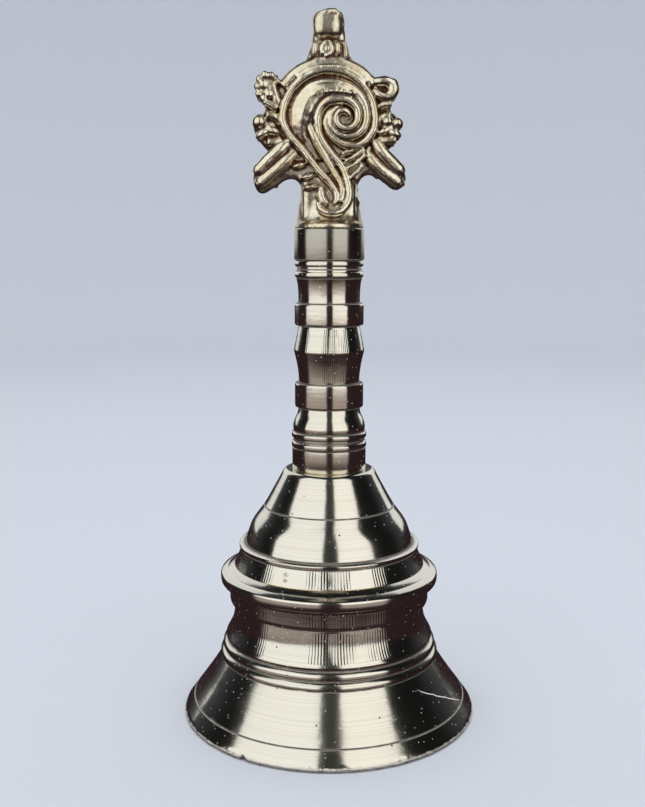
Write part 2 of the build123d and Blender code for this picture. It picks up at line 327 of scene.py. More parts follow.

# %% [markdown]
# ## Brass
# A bell of this kind is cast, turned on a lathe and buffed. The turning leaves fine rings, which blur a
# reflection up and down but hardly sideways. Where the tool shook it left a ladder of upright marks. The
# metal has a few casting pits, some dust, and brown polish left in its crevices. The crevices are also
# darkened to near black as painted shade. All of it follows the bell's axis, so the finish is worked out
# from the distance to the axis and the height.

# %% Brass colours
PALE_BRASS = rgb(0.86, 0.825, 0.725)
WARM_BRASS = rgb(0.80, 0.72, 0.55)
GOLDEN_BRASS = rgb(0.78, 0.66, 0.42)
RING_BRASS = rgb(0.50, 0.46, 0.36)
DULL_BRASS = rgb(0.44, 0.42, 0.36)
TARNISH = rgb(0.16, 0.085, 0.04)
# a near-black brown for the crevices: painted shade there, as well as brown polish
GROOVE_BROWN_AND_SHADE = rgb(0.035, 0.018, 0.012)
GOLD_LINE = rgb(0.62, 0.42, 0.13)
DARK_PIT = rgb(0.05, 0.03, 0.02)
DUST = rgb(0.88, 0.87, 0.84)
CAST_BRASS = rgb(0.93, 0.875, 0.72)
# the crest's dark brown: its cast skin, and painted shade in its hollows
BROWN_SKIN_AND_SHADE = rgb(0.12, 0.045, 0.03)
RAW_BRASS = rgb(0.74, 0.70, 0.60)


def add_specks(finish, place, cell, size, share, offset):
    """A mask of round specks. Space is divided into cells, a share of the cells holds a speck each, and cell
    and size are in metres. The offset gives each kind of speck its own cells."""
    shifted = finish.node("ShaderNodeVectorMath", {"operation": "ADD"}, {0: place, 1: (offset,) * 3})
    cells = finish.node("ShaderNodeTexVoronoi", inputs={"Vector": shifted, "Scale": 1 / cell})
    tint = Wire(finish, cells.socket.node.outputs["Color"])
    red, green, blue = finish.axes(tint)
    return cells.rise(size / cell, 0.6 * size / cell) * red.rise(1 - share, 1 - share + 0.01)


def near_heights(up, heights, half_width):
    """A mask of thin level bands round the given heights, in millimetres."""
    mask = None
    for height in heights:
        band = abs(up - height).rise(half_width, 0.0)
        mask = band if mask is None else mask.math("MAXIMUM", band)
    return mask


# %% Turned brass


def turned_brass(
    name, crevices, gold_lines, chatter_zones, dull_zones=(), rough_rim=False, tarnish=0.15
):
    """Heights are in millimetres. A chatter zone is (low, high, marks round the bell, strength)."""
    finish = Finish(name, Metallic=1.0, Anisotropic=0.55, Anisotropic_Rotation=0.25)
    place = finish.place()
    x, y, z = finish.axes(place)
    up = z * 1000
    radius = (x * x + y * y) ** 0.5
    ring = finish.vector(radius, 0.0, z)
    fine_lines = finish.noise(ring, 3200, detail=3, roughness=0.7)
    broad_lines = finish.noise(ring, 620, detail=2)
    smudges = finish.noise(place, 70, detail=4, roughness=0.6)
    patches = finish.noise(place, 28, detail=2)

    front = x.math("ARCTAN2", 0 - y) * degrees(1)
    # painted shade with brown polish: thin bands at the given heights darken the crevices to near black
    crevice_polish_and_shade = near_heights(up, crevices, 0.30) * finish.noise(place, 260, detail=2).rise(0.18, 0.48)
    colour = finish.mix(patches.rise(0.35, 0.75) * tarnish, PALE_BRASS, WARM_BRASS)
    colour = finish.mix(fine_lines.rise(0.42, 0.75) * 0.30, colour, RING_BRASS)
    colour = finish.mix(broad_lines.rise(0.50, 0.80) * 0.22, colour, RING_BRASS)
    colour = finish.mix(crevice_polish_and_shade * 0.9, colour, GROOVE_BROWN_AND_SHADE)

    # a thin golden, rougher line at each given height, where two parts of the turning meet
    joint_line = near_heights(up, gold_lines, 0.16) * finish.noise(place, 420).rise(0.32, 0.55)
    colour = finish.mix(joint_line * 0.9, colour, GOLD_LINE)

    pits = add_specks(finish, place, 0.0032, 0.00028, 0.30, 0.0)
    dust = add_specks(finish, place, 0.00118, 0.00015, 0.55, 0.31)
    colour = finish.mix(pits * 0.85, colour, DARK_PIT)
    colour = finish.mix(dust * 0.8, colour, DUST)

    rough = 0.115 + joint_line * 0.25 + smudges.rise(0.45, 0.8) * 0.08 + fine_lines * 0.05
    rough = rough + crevice_polish_and_shade * 0.4 + pits * 0.4 + dust * 0.4
    metal = 1.0 - dust * 0.75 - crevice_polish_and_shade * 0.5

    shaken = front.rise(-20, -6) * front.rise(40, 22)
    ladder = None
    for low, high, count, strength in chatter_zones:
        zone = up.rise(low, low + 0.5) * up.rise(high, high - 0.5) * strength
        wave = (front * radians(count) + broad_lines * 2.5).math("SINE") * zone
        ladder = wave if ladder is None else ladder + wave
    lumps = finish.noise(place, 160, detail=1)
    drift = finish.noise(finish.vector(x * 0.33, y * 0.33, z), 1100, detail=2)
    relief = fine_lines * 4.5 + broad_lines * 9.0 + lumps * 40.0 + drift * 17.0 - pits * 30
    if ladder is not None:
        round_the_bell = finish.vector(x / radius, y / radius, z * 12)
        patchy = finish.noise(round_the_bell, 5.0, detail=2).rise(0.30, 0.60)
        relief = relief + ladder * patchy * (9.0 + shaken * 26.0)
    if rough_rim:
        grain = finish.noise(place, 900, detail=4, roughness=0.65)
        rim = (up + grain * 1.2).rise(2.0, 1.5)
        relief = relief + rim * grain * 160
        rough = rough + rim * 0.30
        metal = metal - rim * 0.45
        colour = finish.mix(rim * 0.8, colour, RAW_BRASS)
        colour = finish.mix(rim * grain.rise(0.54, 0.64) * 0.7, colour, TARNISH)
        # a small brown stain on the shoulder, and a scratch on the skirt: height and degrees to the right
        stain = (up - 43.6) * (up - 43.6) + (front + 27) * (front + 27) * 0.3
        stain = stain.rise(2.2, 0.8) * finish.noise(place, 900, detail=2).rise(0.42, 0.56)
        colour = finish.mix(stain * 0.6, colour, TARNISH)
        drift_line = finish.noise(place, 300, detail=1) * 0.8
        along = front.rise(46, 50) * front.rise(77, 66)
        scratch = abs(up - 26.7 + front * 0.28 + drift_line).rise(0.20, 0.05) * along
        colour = finish.mix(scratch, colour, DUST)
        rough = rough + scratch * 0.4
        metal = metal - scratch * 0.8
    for low, high in dull_zones:
        dull = up.rise(low, low + 0.2) * up.rise(high, high - 0.2)
        colour = finish.mix(dull * 0.85, colour, DULL_BRASS)
        rough = rough + dull * 0.07
    finish.set(
        Base_Color=colour,
        Roughness=rough,
        Metallic=metal,
        Normal=finish.bump(relief),
    )
    return finish.material


cup_brass = turned_brass(
    "cup_brass",
    crevices=(4.9, 16.3, 18.65, 21.0, 30.7, 45.9, 47.5, 57.4),
    gold_lines=(41.4,),
    chatter_zones=((41.3, 46.0, 205, 1.0), (31.0, 35.6, 226, 1.2), (22.5, 30.4, 218, 0.7)),
    rough_rim=True,
)
grip_brass = turned_brass(
    "grip_brass",
    crevices=(73.4, 75.4, 77.7, 84.1, 90.7, 105.8, 111.7, 118.2, 120.5, 122.9),
    gold_lines=(67.6,),
    chatter_zones=((91.0, 105.5, 110, 0.5),),
    dull_zones=((122.8, 131.2),),
    tarnish=0.3,
)

# %% [markdown]
# ### Cast brass
# The crest was only brushed by a buffing wheel, so its high parts are bright and its grooves keep a brown
# skin. The dark brown in its hollows and low parts is also painted shade. How deep a point lies is known
# from how far it is from the crest's middle plane. Pointiness, which tells a hollow from a ridge, sharpens
# that near each edge.

# %% Cast brass


def cast_brass():
    finish = Finish("cast_brass", Metallic=1.0)
    place = finish.place()
    x, y, z = finish.axes(place)
    depth = abs(y) * 1000
    geometry = finish.node("ShaderNodeNewGeometry")
    edge = Wire(finish, geometry.socket.node.outputs["Pointiness"])
    hollow = edge.rise(0.499, 0.472)
    ridge = edge.rise(0.51, 0.56)
    grain = finish.noise(place, 1400, detail=3, roughness=0.65)
    blotch = finish.noise(place, 260, detail=3, roughness=0.6)
    worn = depth.rise(3.7, 4.8)
    # painted shade with cast skin: hollows, and the low parts away from the worn tops, darken to brown
    brown = hollow * 0.92 + (1 - worn) * blotch.rise(0.36, 0.60) * 0.36
    colour = finish.mix(blotch.rise(0.3, 0.7) * 0.8, CAST_BRASS, GOLDEN_BRASS)
    colour = finish.mix(brown.limited(), colour, BROWN_SKIN_AND_SHADE)
    colour = finish.mix(ridge * 0.5, colour, CAST_BRASS)
    rough = 0.23 + hollow * 0.2 + blotch * 0.15 - worn * 0.05
    pits = add_specks(finish, place, 0.0011, 0.00024, 0.5, 0.0)
    relief = grain * (7 + 16 * (1 - worn)) + blotch * 16 - pits * 12
    finish.set(Base_Color=colour, Roughness=rough, Normal=finish.bump(relief))
    return finish.material


crest_brass = cast_brass()

# %% [markdown]
# ## Turned pieces
# The cup and the grip come off a lathe. A turner works to half an outline: corners, straight runs and
# smooth swells. The same is done here: the half outline is drawn point by point by extruding one vertex,
# and spin carries it round the axis. Spin keeps every ring exactly round, which polished metal needs.

# %% Half outlines
SMOOTH = "smooth"


def swell(points, steps):
    """A smooth run through the points, ends included, with that many steps between two points."""
    spread = [Vector(points[0])] + [Vector(p) for p in points] + [Vector(points[-1])]
    run = []
    for before, start, stop, after in zip(spread, spread[1:], spread[2:], spread[3:]):
        for step in range(steps):
            t = step / steps
            run.append(0.5 * (
                2 * start
                + (stop - before) * t
                + (2 * before - 5 * start + 4 * stop - after) * t**2
                + (3 * start - before - 3 * stop + after) * t**3
            ))
    return run


def walk(points, corner, distance, way):
    """The point that lies a distance along the outline from a corner, and the index of the next point."""
    here, index = points[corner], corner
    while 0 <= index + way < len(points) and (points[index + way] - here).length < distance:
        distance -= (points[index + way] - here).length
        index += way
        here = points[index]
    nxt = min(max(index + way, 0), len(points) - 1)
    gap = points[nxt] - here
    return (here + gap * (distance / gap.length) if gap.length > 0 else here), index + way


def half_outline(stations, steps=7, arc_steps=3):
    """Stations are (radius, height), (radius, height, corner rounding) or (radius, height, SMOOTH)."""
    points, corners, run = [], [], []
    for station in stations:
        where = (station[0], station[1])
        run.append(where)
        if len(station) > 2 and station[2] == SMOOTH:
            continue
        if len(run) > 2:
            points += swell(run, steps)
        elif len(run) == 2:
            points.append(Vector(run[0]))
        run = [where]
        if len(station) > 2:
            corners.append((where, station[2]))
    points.append(Vector(run[0]))
    for where, rounding in corners:
        corner = min(range(len(points)), key=lambda i: (points[i] - Vector(where)).length)
        start, low = walk(points, corner, rounding, -1)
        stop, high = walk(points, corner, rounding, 1)
        middle = points[corner]
        arc = []
        for step in range(arc_steps + 1):
            t = step / arc_steps
            arc.append(start * (1 - t) ** 2 + middle * 2 * t * (1 - t) + stop * t**2)
        points[low + 1:high] = arc
    return points


def engrave(points, height, width, depth):
    """A fine line cut into the first place where the outline passes that height."""
    for i, (low, high) in enumerate(zip(points, points[1:])):
        if low.y <= height < high.y:
            along = (high - low).normalized()
            middle = low + (high - low) * ((height - low.y) / (high.y - low.y))
            inward = Vector((-along.y, along.x)) * depth
            groove = [middle - along * width / 2, middle + inward, middle + along * width / 2]
            kept, rest = points[:i + 1], points[i + 1:]
            while (kept[-1] - middle).length < width / 2 or kept[-1].y > groove[0].y:
                kept.pop()
            while (rest[0] - middle).length < width / 2:
                rest.pop(0)
            return kept + groove + rest
    return points


# %% Spin an outline


def deselect():
    if bpy.context.object and bpy.context.object.mode != "OBJECT":
        bpy.ops.object.mode_set(mode="OBJECT")
    bpy.ops.object.select_all(action="DESELECT")


def new_vertex(name, where):
    """A mesh of one vertex: a plane whose corners are merged into one."""
    deselect()
    bpy.ops.mesh.primitive_plane_add(size=MM, location=(0, 0, 0))
    piece = bpy.context.object
    piece.name = piece.data.name = name
    bpy.ops.object.mode_set(mode="EDIT")
    bpy.ops.mesh.merge(type="CENTER")
    bpy.ops.transform.translate(value=where)
    return piece


def turned(name, outline, steps):
    """The half outline, in millimetres, closed to a loop and spun round the bell's axis."""
    piece = new_vertex(name, (outline[0].x * MM, 0, outline[0].y * MM))
    for here, there in zip(outline, outline[1:] + outline[:1]):
        shift = ((there.x - here.x) * MM, 0, (there.y - here.y) * MM)
        bpy.ops.mesh.extrude_region_move(TRANSFORM_OT_translate={"value": shift})
    bpy.ops.mesh.select_all(action="SELECT")
    bpy.ops.mesh.remove_doubles(threshold=MICRON)
    bpy.ops.mesh.spin(steps=steps, angle=2 * pi, center=(0, 0, 0), axis=(0, 0, 1))
    bpy.ops.mesh.select_all(action="SELECT")
    bpy.ops.mesh.remove_doubles(threshold=MICRON)
    bpy.ops.mesh.normals_make_consistent(inside=False)
    bpy.ops.object.mode_set(mode="OBJECT")
    bpy.ops.object.shade_smooth_by_angle(angle=radians(35))
    print(name, len(piece.data.polygons), "faces")
    return piece


def size_check(piece, *nodes):
    """Prints how far a new piece's box differs from the box of the nodes that it stands for, in mm."""
    corners = [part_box(node) for node in nodes]
    low = [min(c[0][i] for c in corners) for i in range(3)]
    high = [max(c[1][i] for c in corners) for i in range(3)]
    own = [[f(v.co[i] for v in piece.data.vertices) for i in range(3)] for f in (min, max)]
    off = [round((a - b) / MM, 2) for a, b in zip(own[0] + own[1], low + high)]
    print(piece.name, "against", nodes, off)


# %% [markdown]
# ### Cup
# The cup is one casting turned all over: a long flared skirt with two reeds at its top, a cove, a waist
# band, a wide flange with a sloping top, and a domed crown. Its inside is left plainer. The corners are
# rounded a little, because a knife-sharp corner on polished metal shows no highlight at all.

# %% Cup
CUP_STEPS = 360
ENGRAVED_LINES = ((4.9, 0.4, 0.16), (40.35, 0.3, 0.05), (57.4, 0.4, 0.18))

cup_stations = [
    (36.8, 0, 0.3),
    (39.4, 0, 0.2),
    (40.0, 0.9, 0.3),
    (37.0, 5.0, SMOOTH),
    (32.9, 10.7, SMOOTH),
    (29.3, 16.3),
    (29.75, 16.75, SMOOTH),
    (29.5, 17.8, SMOOTH),
    (28.6, 18.65),
    (29.0, 19.1, SMOOTH),
    (28.8, 20.2, SMOOTH),
    (27.9, 21.0),
    (28.2, 21.9, 0.25),
    (26.3, 25.8, SMOOTH),
    (25.5, 30.6),
    (26.5, 30.9, 0.25),
    (27.0, 31.7, 0.4),
    (27.0, 35.4, 0.1),
    (29.3, 36.9, 0.5),
    (29.45, 38.2, SMOOTH),
    (29.3, 39.4, 0.35),
    (25.7, 41.35),
    (24.6, 43.7, SMOOTH),
    (23.8, 45.9),
    (24.3, 46.3, 0.2),
    (24.3, 47.1, 0.3),
    (22.6, 47.5),
    (22.0, 49.6, SMOOTH),
    (20.65, 53.0, SMOOTH),
    (17.5, 57.4, SMOOTH),
    (14.5, 62.7, SMOOTH),
    (12.3, 66.8, 0.4),
    (11.6, 67.4, 0.4),
    (5.05, 67.4),
    (5.05, 64.4, 0.2),
    (9.5, 64.4, 1.0),
    (11.7, 62.7, SMOOTH),
    (14.7, 57.4, SMOOTH),
    (17.9, 53.0, SMOOTH),
    (21.0, 45.9, SMOOTH),
    (22.7, 35.4, SMOOTH),
    (22.7, 30.6, SMOOTH),
    (25.4, 21.0, SMOOTH),
    (30.1, 10.7, SMOOTH),
    (36.8, 0),
]
cup_outline = half_outline(cup_stations)[:-1]
for line in ENGRAVED_LINES:
    cup_outline = engrave(cup_outline, *line)
print("cup outline:", len(cup_outline), "points")
cup = turned("cup_shell", cup_outline, CUP_STEPS)
size_check(cup, "bell_cup")

# %% [markdown]
# ### Modifiers
# A modifier changes a whole mesh by a rule, such as a pattern that pushes its points in and out. It is
# applied at once here, so that the finished mesh holds the shape and nothing is left to be worked out.

# %% Modifiers


def on_top(piece):
    deselect()
    piece.select_set(True)
    bpy.context.view_layer.objects.active = piece


def modify(piece, kind, **settings):
    on_top(piece)
    modifier = piece.modifiers.new(kind.lower(), kind)
    for key, value in settings.items():
        setattr(modifier, key, value)
    bpy.ops.object.modifier_apply(modifier=modifier.name)
    return piece


def grain_texture(name, size):
    grain = bpy.data.textures.new(name, "CLOUDS")
    grain.noise_scale = size * MM
    grain.noise_depth = 2
    return grain


# %% [markdown]
# ### Rough rim
# The turner left the very edge of the mouth as it came from the mould. A displacement that only presses
# inwards eats small chips out of it, and one deeper nick is pulled up with proportional editing.

# %% Rough rim
RIM_HEIGHT = 1.3 * MM
RIM_INSIDE = 37.5 * MM
MOUTH_RADIUS = 40.0 * MM
NICK_ANGLE = radians(-33)
NICK_PULL = (0.25 * MM, 0.3 * MM, 0.75 * MM)
NICK_REACH = 1.6 * MM

rim = cup.vertex_groups.new(name="rim")
rim_points = [
    v.index for v in cup.data.vertices if v.co.z < RIM_HEIGHT and hypot(v.co.x, v.co.y) > RIM_INSIDE
]
rim.add(rim_points, 1.0, "REPLACE")
modify(
    cup, "DISPLACE", texture=grain_texture("rim_chips", 1.1), texture_coords="LOCAL",
    vertex_group="rim", strength=0.55 * MM, mid_level=0.85,
)
nick = Vector((sin(NICK_ANGLE), -cos(NICK_ANGLE), 0.0)) * MOUTH_RADIUS
nearest = min(cup.data.vertices, key=lambda v: (v.co - nick).length).index
bpy.ops.object.mode_set(mode="EDIT")
bpy.ops.mesh.select_all(action="DESELECT")
bpy.ops.object.mode_set(mode="OBJECT")
cup.data.vertices[nearest].select = True
bpy.ops.object.mode_set(mode="EDIT")
bpy.ops.transform.translate(
    value=NICK_PULL, use_proportional_edit=True,
    proportional_edit_falloff="SMOOTH", proportional_size=NICK_REACH,
)
bpy.ops.object.mode_set(mode="OBJECT")
print("rim points:", len(rim_points))
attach(cup, "bell")
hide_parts("bell_cup")
cup.data.materials.append(cup_brass)

# %% [markdown]
# ### Grip
# The grip is turned from bar: a plain foot with two reeds, a hollow swell under each of two plain collars,
# a throat and a plain sleeve that carries the crest. It has a bore for the tie rod.

# %% Grip
GRIP_STEPS = 200
crown = 67.4
spigot_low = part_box("handle_grip")[0][2] / MM

grip_stations = [
    (3.3, spigot_low),
    (5.0, spigot_low),
    (5.0, crown),
    (9.7, crown, 0.15),
    (9.85, crown + 0.3),
    (9.85, 73.2, 0.1),
    (9.5, 73.35),
    (9.95, 73.6, SMOOTH),
    (9.95, 74.7, SMOOTH),
    (9.5, 75.0),
    (9.5, 75.9),
    (9.95, 76.2, SMOOTH),
    (9.95, 77.3, SMOOTH),
    (9.45, 77.6),
    (9.6, 79.0, SMOOTH),
    (9.2, 80.6, SMOOTH),
    (8.45, 82.4, SMOOTH),
    (8.1, 84.15),
    (8.95, 84.2, 0.1),
    (9.1, 84.6, 0.15),
    (9.1, 90.2, 0.15),
    (8.95, 90.6, 0.1),
    (8.0, 90.7),
    (8.15, 93.0, SMOOTH),
    (8.6, 96.0, SMOOTH),
    (9.35, 99.2, 0.3),
    (8.7, 102.5, SMOOTH),
    (8.05, 105.8),
    (8.9, 105.9, 0.1),
    (9.1, 106.3, 0.15),
    (9.1, 111.2, 0.15),
    (8.9, 111.6, 0.1),
    (8.1, 111.7),
    (8.12, 114.0, SMOOTH),
    (8.3, 116.5, SMOOTH),
    (8.65, 118.2),
    (8.5, 118.3),
    (8.95, 118.6, SMOOTH),
    (8.95, 119.6, SMOOTH),
    (8.5, 119.9),
    (8.5, 121.1),
    (8.95, 121.4, SMOOTH),
    (8.95, 122.5, SMOOTH),
    (8.5, 122.85),
    (9.2, 122.95, 0.1),
    (9.25, 130.7, 0.1),
    (8.95, 131.0),
    (3.3, 131.0),
]
grip_outline = half_outline(grip_stations, steps=5)
print("grip outline:", len(grip_outline), "points")
grip = turned("grip_turning", grip_outline, GRIP_STEPS)
size_check(grip, "handle_grip")
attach(grip, "bell")
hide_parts("handle_grip")
grip.data.materials.append(grip_brass)


# %% [markdown]
# ## Crest
# The crest is a flat sand casting with the same relief on both faces: a conch shell in a round frame, three
# short flames on each side, a neck below and a bud on top. Relief of this kind is modelled like clay on a
# board. The board is a plate in the crest's outline. Rolls of clay are laid on it, which are curves with a
# changing thickness, and pellets, which are balls pressed to shape. A voxel remesh then melts all of it
# into one skin, as casting does, and smoothing takes the sharp corners off.

# %% Clay rolls
PLATE_HALF = 3.3
roll_list = []


def roll(top, *points):
    """A roll of clay whose highest line lies at top from the middle plane. Points are (across, up, radius),
    and a point with a fourth number has its own top."""
    roll_list.append([(x, z, r, rest[0] if rest else top) for x, z, r, *rest in points])


# the frame: up from the neck curl, round the shell and in towards its eye
ring_x, ring_z = -0.1, 158.4
FRAME_RADIUS = 11.75
SHOULDER_RADIUS = 13.7
frame_roll = [
    (1.2, 136.9, 0.5, 6.7), (1.9, 139.2, 0.75, 6.3), (0.5, 141.9, 0.8, 6.1), (-2.5, 145.2, 1.0, 5.8),
    (-5.2, 148.5, 1.05, 5.5), (-7.9, 151.8, 1.0, 5.3), (-10.2, 154.4, 0.9, 5.1),
]
for step in range(9):
    turn = radians(180 - 24 * step)
    frame_roll.append(
        (ring_x + FRAME_RADIUS * cos(turn), ring_z + FRAME_RADIUS * sin(turn), 0.95, 5.1)
    )
frame_roll += [
    (10.2, 153.8, 1.1, 5.1), (8.0, 151.9, 1.15, 5.1), (5.3, 151.5, 1.1, 5.1), (2.7, 152.4, 0.95, 5.0),
    (0.7, 154.0, 0.8, 4.9), (-0.6, 155.9, 0.7, 4.8), (-1.0, 157.8, 0.65, 4.7),
    (-0.3, 159.7, 0.55, 4.6), (1.0, 161.0, 0.45, 4.5),
]
roll(5.1, *frame_roll)

# the shell's big smooth turn, which narrows as it winds in
roll(
    5.3,
    (-8.0, 154.3, 1.0, 4.3), (-8.2, 156.6, 2.1, 4.9), (-7.6, 159.4, 3.3), (-6.4, 162.4, 3.5),
    (-3.9, 165.3, 3.2), (-0.2, 166.5, 2.6), (3.4, 166.2, 2.2), (6.4, 164.8, 1.9), (8.3, 162.7, 1.5),
    (9.25, 160.2, 1.15, 5.2), (9.2, 157.3, 1.05, 5.2), (7.9, 155.0, 1.0, 5.2),
    (5.6, 153.9, 1.0, 5.2), (3.3, 154.0, 0.95, 5.2), (1.6, 155.1, 0.85, 5.2), (0.5, 156.7, 0.75, 5.1),
    (0.2, 158.4, 0.65, 5.0), (0.7, 159.9, 0.6, 4.9), (1.9, 161.0, 0.5, 4.9), (3.3, 161.5, 0.4, 4.8),
)
roll(
    6.0,
    (-6.2, 153.0, 0.7, 4.2), (-6.9, 155.0, 1.5, 4.9), (-6.7, 157.6, 2.6, 5.6), (-6.0, 160.2, 3.2),
    (-4.7, 162.7, 3.3), (-2.4, 164.7, 2.9), (0.4, 165.4, 2.3, 5.9), (3.4, 165.2, 1.9, 5.8),
    (6.0, 164.0, 1.4, 5.6),
)
# its inner turn, and the curl at its eye
roll(
    5.8,
    (-2.8, 155.6, 0.9, 5.1), (-3.0, 158.4, 1.05, 5.3), (-2.0, 161.2, 1.25, 5.5), (-0.3, 162.5, 1.25),
    (2.1, 162.9, 1.25), (4.7, 162.6, 1.2), (6.4, 161.4, 1.15), (7.2, 159.8, 1.1), (7.1, 157.9, 1.05),
    (6.2, 156.4, 1.0), (4.7, 155.7, 0.95), (3.1, 156.0, 0.95), (2.0, 157.1, 0.9), (1.8, 158.7, 0.85),
    (2.6, 159.9, 0.95, 6.0), (4.0, 160.1, 0.9, 5.9), (4.9, 159.2, 0.75, 5.7), (4.5, 158.2, 0.5, 5.3),
)
# the shell's long lip: two more rolls that run down to the neck and end in a curl
roll(
    5.3,
    (-5.0, 156.4, 0.8, 4.8), (-3.9, 153.9, 0.95), (-2.6, 151.4, 1.0), (-1.2, 149.0, 0.95),
    (0.2, 146.8, 0.9), (1.6, 144.4, 0.85, 5.6), (2.9, 142.2, 0.7, 5.9), (3.3, 139.8, 0.6, 6.1),
    (2.8, 137.6, 0.45, 6.3),
)
roll(
    5.1,
    (-3.0, 156.8, 0.95), (-2.6, 154.6, 0.95), (-1.6, 152.6, 0.95), (-0.2, 150.6, 1.0),
    (1.6, 148.4, 0.95), (3.2, 146.4, 0.95, 5.3),
    (4.4, 143.6, 0.9, 5.6), (5.1, 140.6, 1.0, 6.1), (4.9, 138.1, 1.05, 6.7), (3.7, 136.0, 1.05, 7.4),
    (1.8, 134.9, 1.0, 7.9), (-0.3, 134.8, 0.95, 7.9), (-2.1, 135.8, 0.9, 7.4), (-3.0, 137.5, 0.75, 6.6),
)
roll(
    6.6,
    (-2.0, 141.6, 0.5, 5.6), (-2.1, 139.9, 1.25, 6.2), (-1.6, 138.1, 1.05, 6.5), (-0.4, 137.0, 0.6, 6.7),
)

# thin fan of ridges between lip and right arm
roll(4.9, (3.2, 149.6, 0.6), (5.6, 150.2, 0.6), (8.6, 151.6, 0.5))
roll(5.0, (4.0, 147.8, 0.6), (6.0, 148.6, 0.65), (9.0, 150.7, 0.5))
roll(5.1, (4.6, 146.0, 0.6), (6.6, 147.0, 0.65), (9.3, 149.4, 0.5))
roll(5.2, (5.4, 143.8, 0.6), (6.9, 144.9, 0.65), (8.6, 146.9, 0.5))

# %% [markdown]
# ### Flames
# Each lower flame is two long feathers side by side. The others are small curled leaves round a pellet.
# Left and right were cut by hand in the pattern, so they are only roughly alike.

# %% Flames
roll(5.0, (-10.4, 152.6, 1.4, 4.4), (-12.6, 150.7, 1.85), (-15.6, 148.0, 1.95), (-18.2, 145.4, 1.8),
     (-19.0, 144.7, 1.1, 4.4))
roll(4.9, (-8.7, 150.2, 1.2, 4.2), (-11.0, 147.9, 1.65), (-14.3, 145.1, 1.75), (-17.7, 142.4, 1.9),
     (-18.7, 141.7, 1.1, 4.2))
roll(5.0, (11.4, 153.0, 1.3, 4.4), (13.1, 150.7, 1.7), (15.6, 147.9, 1.8), (18.0, 145.6, 1.75),
     (18.9, 144.8, 1.1, 4.4))
roll(4.9, (9.2, 150.1, 1.2, 4.2), (11.4, 147.4, 1.6), (14.5, 144.7, 1.7), (17.6, 142.5, 1.85),
     (18.7, 141.7, 1.1, 4.2))

# the middle ones: short stalks here, and leaves and pellets below
roll(4.8, (-12.2, 157.4, 1.1, 4.3), (-14.0, 158.9, 1.2), (-16.0, 159.3, 1.0))
roll(4.7, (-12.3, 153.2, 1.2, 4.2), (-14.0, 152.5, 1.3), (-15.8, 152.6, 1.1))
roll(4.8, (12.2, 157.0, 1.1, 4.3), (13.8, 158.7, 1.2), (15.6, 159.1, 1.0))
roll(4.7, (12.4, 153.0, 1.2, 4.2), (14.6, 152.9, 1.2), (16.9, 153.2, 1.1))

# the upper ones: a stalk for the left, a folded leaf with an open eye for the right
roll(4.7, (-12.4, 161.2, 0.9, 4.2), (-13.4, 163.2, 1.1), (-14.0, 165.4, 1.1), (-14.4, 167.4, 0.9))
roll(4.6, (-13.2, 160.8, 0.9), (-15.0, 161.9, 1.0), (-16.6, 162.6, 0.9))
roll(4.8, (10.9, 167.2, 1.1, 4.3), (12.8, 167.5, 1.3), (15.2, 167.2, 1.5), (16.1, 165.9, 1.7, 4.9),
     (15.7, 164.5, 1.5), (14.2, 163.7, 1.2), (12.4, 164.3, 1.0), (11.3, 165.6, 0.9, 4.2))
roll(4.4, (12.6, 161.2, 0.91), (14.4, 162.0, 1.04), (15.8, 162.1, 0.91))

# %% [markdown]
# ### Shoulders and bud
# A plain band follows the frame over the top, with a thin beaded line in the angle. Above it a short stem
# with upright ridges carries the bud, which has a deep groove under it and a rough, slanting top.

# %% Shoulders and bud
shoulder_roll = []
for step in range(8):
    turn = radians(146 - 15.5 * step)
    shoulder_roll.append(
        (ring_x + SHOULDER_RADIUS * cos(turn), ring_z + SHOULDER_RADIUS * sin(turn), 1.9, 4.6)
    )
roll(4.5, *shoulder_roll)
beaded_line = []
for step in range(8):
    turn = radians(128 - 12 * step)
    beaded_line.append((ring_x + 12.85 * cos(turn), ring_z + 12.75 * sin(turn), 0.45, 5.0))
roll(4.9, *beaded_line)
roll(4.7, (-3.9, 173.6, 0.7), (-3.7, 175.2, 0.85, 5.0), (-3.5, 176.9, 0.7))
roll(4.7, (2.3, 173.6, 0.6), (2.3, 175.2, 0.75, 5.1), (2.2, 176.9, 0.6))
roll(4.2, (4.2, 173.4, 0.6), (4.0, 175.4, 0.7), (3.6, 177.2, 0.6))
roll(4.8, (-1.6, 174.0, 0.5), (-1.8, 175.4, 0.6), (-1.3, 176.7, 0.55), (-0.1, 177.0, 0.55),
     (0.5, 176.0, 0.6), (0.4, 174.6, 0.6), (-0.3, 173.7, 0.5), (-1.2, 173.7, 0.45))
roll(4.4, (-3.4, 183.6, 0.6, 3.6), (-1.7, 184.1, 0.7), (0.2, 184.5, 0.7), (1.9, 184.5, 0.7, 4.0))
roll(4.6, (1.6, 182.6, 0.5, 4.5), (2.5, 183.9, 0.7, 4.0), (3.1, 182.6, 0.6, 3.6), (3.4, 180.6, 0.5, 3.4))

# %% Lay the clay


def lay_rolls(name):
    """All rolls as one curve with a round section, made a mesh. Front is the side with y below zero."""
    deselect()
    bpy.ops.curve.primitive_bezier_curve_add(location=(0, 0, 0))
    piece = bpy.context.object
    piece.name = name
    lines = piece.data
    lines.splines.clear()
    lines.dimensions = "3D"
    lines.bevel_depth = MM
    lines.bevel_resolution = 3
    lines.resolution_u = 5
    lines.use_fill_caps = True
    for points in roll_list:
        spline = lines.splines.new("BEZIER")
        spline.bezier_points.add(len(points) - 1)
        for knot, (x, z, radius, top) in zip(spline.bezier_points, points):
            knot.co = (x * MM, -(top - radius) * MM, z * MM)
            knot.radius = radius
            knot.handle_left_type = knot.handle_right_type = "AUTO"
    bpy.ops.object.convert(target="MESH")
    return bpy.context.object


